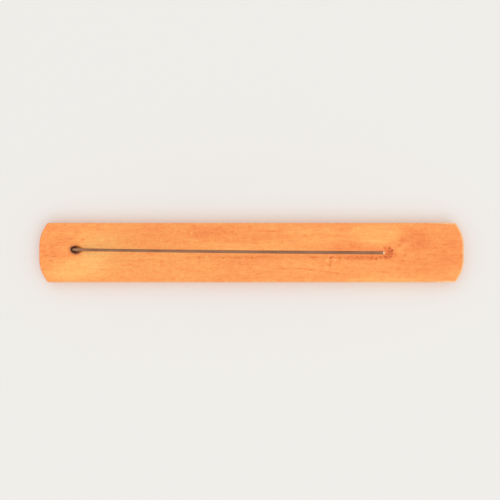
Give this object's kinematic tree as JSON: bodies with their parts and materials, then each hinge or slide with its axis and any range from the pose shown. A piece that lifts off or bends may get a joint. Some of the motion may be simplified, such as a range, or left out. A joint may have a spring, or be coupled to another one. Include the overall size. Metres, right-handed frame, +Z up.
{
  "type": "incense stick holder",
  "caption": "Flat wooden slat that holds a leaning incense stick in a slanted blind hole, with a shallow groove below the stick to catch its ash.",
  "frame": {"origin": "middle of the board's underside", "axes": "+X along the board, away from the hole's end, +Y across the board, +Z up out of its top face"},
  "size_m": [0.25, 0.035, 0.0769],
  "materials": {
    "oiled_wood": "sanded and oiled, satin",
    "bamboo": "split and rounded, bare",
    "incense_paste": "rolled paste, dry and matt"
  },
  "bodies": {
    "holder": {"holder_board": "oiled_wood"},
    "stick": {"bamboo_core": "bamboo", "incense_coat": "incense_paste"}
  },
  "joints": [
    {"name": "stick_draw", "type": "slide", "parent": "holder", "child": "stick", "axis": [0.9271, -0.0089, 0.3746], "range_m": [0, 0.009]}
  ]
}
